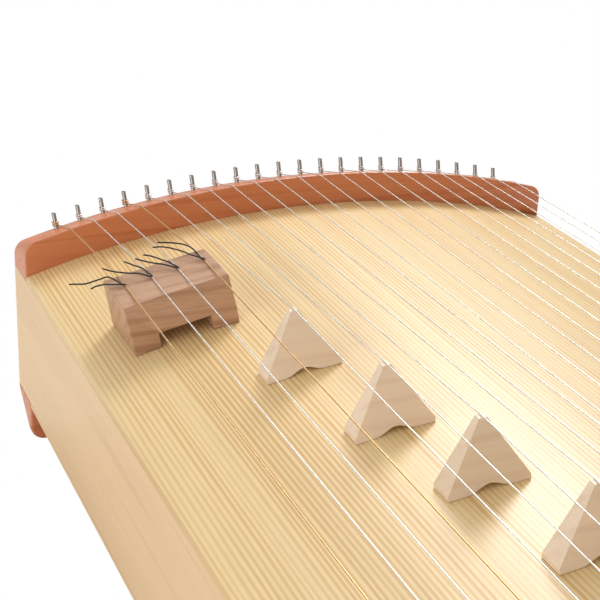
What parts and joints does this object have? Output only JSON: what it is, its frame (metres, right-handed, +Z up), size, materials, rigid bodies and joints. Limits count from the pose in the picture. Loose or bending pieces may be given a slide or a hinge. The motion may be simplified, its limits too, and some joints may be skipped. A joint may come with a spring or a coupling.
{
  "type": "kotamo",
  "caption": "Arched box zither with tambura strings over one broad bridge, koto strings over single sliding bridges, and free monochord strings.",
  "frame": {"origin": "middle of the footprint, on the surface that the instrument stands on", "axes": "+Z up, +Y towards the tuning pins, +X to the player's right when looking along +Y"},
  "size_m": [0.486, 1.2, 0.2321],
  "materials": {
    "spruce": "satin, open grain",
    "side_wood": "satin",
    "pear": "oiled, satin",
    "walnut": "oiled, satin",
    "maple": "satin",
    "cotton": "twisted thread",
    "pin_steel": "nickel plated, satin",
    "steel_wire": "bright drawn wire",
    "brass_wire": "drawn wire"
  },
  "bodies": {
    "body": {"soundboard": "spruce", "soundboard_bracing": "spruce", "tuning_end_block": "spruce", "hitch_end_block": "spruce", "back_board": "side_wood", "left_side_panel": "side_wood", "right_side_panel": "side_wood", "pin_block": "pear", "hitch_block": "pear", "tuning_foot": "pear", "hitch_foot": "pear", "string_01": "brass_wire", "string_02": "steel_wire", "string_03": "steel_wire", "string_04": "brass_wire", "string_05": "steel_wire", "string_06": "steel_wire", "string_07": "steel_wire", "string_08": "steel_wire", "string_09": "steel_wire", "string_10": "steel_wire", "string_11_12": "steel_wire", "string_13_14": "steel_wire", "string_15_16": "steel_wire", "string_17_18": "steel_wire", "string_19_20": "steel_wire", "string_21_22": "steel_wire", "cotton_thread_1": "cotton", "cotton_thread_2": "cotton", "cotton_thread_3": "cotton", "cotton_thread_4": "cotton"},
    "tuning_pin_01": {"tuning_pin_01": "pin_steel"},
    "tuning_pin_02": {"tuning_pin_02": "pin_steel"},
    "tuning_pin_03": {"tuning_pin_03": "pin_steel"},
    "tuning_pin_04": {"tuning_pin_04": "pin_steel"},
    "tuning_pin_05": {"tuning_pin_05": "pin_steel"},
    "tuning_pin_06": {"tuning_pin_06": "pin_steel"},
    "tuning_pin_07": {"tuning_pin_07": "pin_steel"},
    "tuning_pin_08": {"tuning_pin_08": "pin_steel"},
    "tuning_pin_09": {"tuning_pin_09": "pin_steel"},
    "tuning_pin_10": {"tuning_pin_10": "pin_steel"},
    "tuning_pin_11": {"tuning_pin_11": "pin_steel"},
    "tuning_pin_12": {"tuning_pin_12": "pin_steel"},
    "tuning_pin_13": {"tuning_pin_13": "pin_steel"},
    "tuning_pin_14": {"tuning_pin_14": "pin_steel"},
    "tuning_pin_15": {"tuning_pin_15": "pin_steel"},
    "tuning_pin_16": {"tuning_pin_16": "pin_steel"},
    "tuning_pin_17": {"tuning_pin_17": "pin_steel"},
    "tuning_pin_18": {"tuning_pin_18": "pin_steel"},
    "tuning_pin_19": {"tuning_pin_19": "pin_steel"},
    "tuning_pin_20": {"tuning_pin_20": "pin_steel"},
    "tuning_pin_21": {"tuning_pin_21": "pin_steel"},
    "tuning_pin_22": {"tuning_pin_22": "pin_steel"},
    "tambura_bridge": {"tambura_bridge": "walnut"},
    "koto_bridge_1": {"koto_bridge_1": "maple"},
    "koto_bridge_2": {"koto_bridge_2": "maple"},
    "koto_bridge_3": {"koto_bridge_3": "maple"},
    "koto_bridge_4": {"koto_bridge_4": "maple"},
    "koto_bridge_5": {"koto_bridge_5": "maple"},
    "koto_bridge_6": {"koto_bridge_6": "maple"}
  },
  "joints": [
    {"name": "tuning_pin_01_turn", "type": "hinge", "parent": "body", "child": "tuning_pin_01", "pos_m": [-0.20815, 0.594, 0.17791], "axis": [-0.0929, 0.3746, 0.9225], "range_deg": [-900, 90]},
    {"name": "tuning_pin_02_turn", "type": "hinge", "parent": "body", "child": "tuning_pin_02", "pos_m": [-0.18805, 0.594, 0.18271], "axis": [-0.0838, 0.3746, 0.9234], "range_deg": [-900, 90]},
    {"name": "tuning_pin_03_turn", "type": "hinge", "parent": "body", "child": "tuning_pin_03", "pos_m": [-0.16805, 0.594, 0.18697], "axis": [-0.0748, 0.3746, 0.9242], "range_deg": [-900, 90]},
    {"name": "tuning_pin_04_turn", "type": "hinge", "parent": "body", "child": "tuning_pin_04", "pos_m": [-0.14815, 0.594, 0.19072], "axis": [-0.0658, 0.3746, 0.9248], "range_deg": [-900, 90]},
    {"name": "tuning_pin_05_turn", "type": "hinge", "parent": "body", "child": "tuning_pin_05", "pos_m": [-0.12805, 0.594, 0.19401], "axis": [-0.0569, 0.3746, 0.9254], "range_deg": [-900, 90]},
    {"name": "tuning_pin_06_turn", "type": "hinge", "parent": "body", "child": "tuning_pin_06", "pos_m": [-0.10805, 0.594, 0.19681], "axis": [-0.0479, 0.3746, 0.9259], "range_deg": [-900, 90]},
    {"name": "tuning_pin_07_turn", "type": "hinge", "parent": "body", "child": "tuning_pin_07", "pos_m": [-0.08805, 0.594, 0.19912], "axis": [-0.039, 0.3746, 0.9264], "range_deg": [-900, 90]},
    {"name": "tuning_pin_08_turn", "type": "hinge", "parent": "body", "child": "tuning_pin_08", "pos_m": [-0.06805, 0.594, 0.20095], "axis": [-0.0301, 0.3746, 0.9267], "range_deg": [-900, 90]},
    {"name": "tuning_pin_09_turn", "type": "hinge", "parent": "body", "child": "tuning_pin_09", "pos_m": [-0.04805, 0.594, 0.20231], "axis": [-0.0213, 0.3746, 0.9269], "range_deg": [-900, 90]},
    {"name": "tuning_pin_10_turn", "type": "hinge", "parent": "body", "child": "tuning_pin_10", "pos_m": [-0.02805, 0.594, 0.20321], "axis": [-0.0124, 0.3746, 0.9271], "range_deg": [-900, 90]},
    {"name": "tuning_pin_11_turn", "type": "hinge", "parent": "body", "child": "tuning_pin_11", "pos_m": [-0.008, 0.594, 0.20363], "axis": [-0.0035, 0.3746, 0.9272], "range_deg": [-900, 90]},
    {"name": "tuning_pin_12_turn", "type": "hinge", "parent": "body", "child": "tuning_pin_12", "pos_m": [0.012, 0.594, 0.20358], "axis": [0.0053, 0.3746, 0.9272], "range_deg": [-900, 90]},
    {"name": "tuning_pin_13_turn", "type": "hinge", "parent": "body", "child": "tuning_pin_13", "pos_m": [0.032, 0.594, 0.20307], "axis": [0.0142, 0.3746, 0.9271], "range_deg": [-900, 90]},
    {"name": "tuning_pin_14_turn", "type": "hinge", "parent": "body", "child": "tuning_pin_14", "pos_m": [0.052, 0.594, 0.20208], "axis": [0.023, 0.3746, 0.9269], "range_deg": [-900, 90]},
    {"name": "tuning_pin_15_turn", "type": "hinge", "parent": "body", "child": "tuning_pin_15", "pos_m": [0.072, 0.594, 0.20063], "axis": [0.0319, 0.3746, 0.9266], "range_deg": [-900, 90]},
    {"name": "tuning_pin_16_turn", "type": "hinge", "parent": "body", "child": "tuning_pin_16", "pos_m": [0.092, 0.594, 0.1987], "axis": [0.0408, 0.3746, 0.9263], "range_deg": [-900, 90]},
    {"name": "tuning_pin_17_turn", "type": "hinge", "parent": "body", "child": "tuning_pin_17", "pos_m": [0.112, 0.594, 0.19629], "axis": [0.0497, 0.3746, 0.9259], "range_deg": [-900, 90]},
    {"name": "tuning_pin_18_turn", "type": "hinge", "parent": "body", "child": "tuning_pin_18", "pos_m": [0.132, 0.594, 0.1934], "axis": [0.0586, 0.3746, 0.9253], "range_deg": [-900, 90]},
    {"name": "tuning_pin_19_turn", "type": "hinge", "parent": "body", "child": "tuning_pin_19", "pos_m": [0.152, 0.594, 0.19003], "axis": [0.0676, 0.3746, 0.9247], "range_deg": [-900, 90]},
    {"name": "tuning_pin_20_turn", "type": "hinge", "parent": "body", "child": "tuning_pin_20", "pos_m": [0.172, 0.594, 0.18617], "axis": [0.0766, 0.3746, 0.924], "range_deg": [-900, 90]},
    {"name": "tuning_pin_21_turn", "type": "hinge", "parent": "body", "child": "tuning_pin_21", "pos_m": [0.192, 0.594, 0.1818], "axis": [0.0856, 0.3746, 0.9232], "range_deg": [-900, 90]},
    {"name": "tuning_pin_22_turn", "type": "hinge", "parent": "body", "child": "tuning_pin_22", "pos_m": [0.212, 0.594, 0.17694], "axis": [0.0947, 0.3746, 0.9223], "range_deg": [-900, 90]},
    {"name": "tambura_bridge_slide", "type": "slide", "parent": "body", "child": "tambura_bridge", "axis": [0, 1, 0], "range_m": [-0.015, 0.015], "deforming": ["string_01", "string_02", "string_03", "string_04", "cotton_thread_1", "cotton_thread_2", "cotton_thread_3", "cotton_thread_4"]},
    {"name": "koto_bridge_1_slide", "type": "slide", "parent": "body", "child": "koto_bridge_1", "axis": [0, 1, 0], "range_m": [-0.025, 0.025], "deforming": ["string_05"]},
    {"name": "koto_bridge_2_slide", "type": "slide", "parent": "body", "child": "koto_bridge_2", "axis": [0, 1, 0], "range_m": [-0.025, 0.025], "deforming": ["string_06"]},
    {"name": "koto_bridge_3_slide", "type": "slide", "parent": "body", "child": "koto_bridge_3", "axis": [0, 1, 0], "range_m": [-0.025, 0.025], "deforming": ["string_07"]},
    {"name": "koto_bridge_4_slide", "type": "slide", "parent": "body", "child": "koto_bridge_4", "axis": [0, 1, 0], "range_m": [-0.025, 0.025], "deforming": ["string_08"]},
    {"name": "koto_bridge_5_slide", "type": "slide", "parent": "body", "child": "koto_bridge_5", "axis": [0, 1, 0], "range_m": [-0.025, 0.025], "deforming": ["string_09"]},
    {"name": "koto_bridge_6_slide", "type": "slide", "parent": "body", "child": "koto_bridge_6", "axis": [0, 1, 0], "range_m": [-0.025, 0.025], "deforming": ["string_10"]}
  ]
}
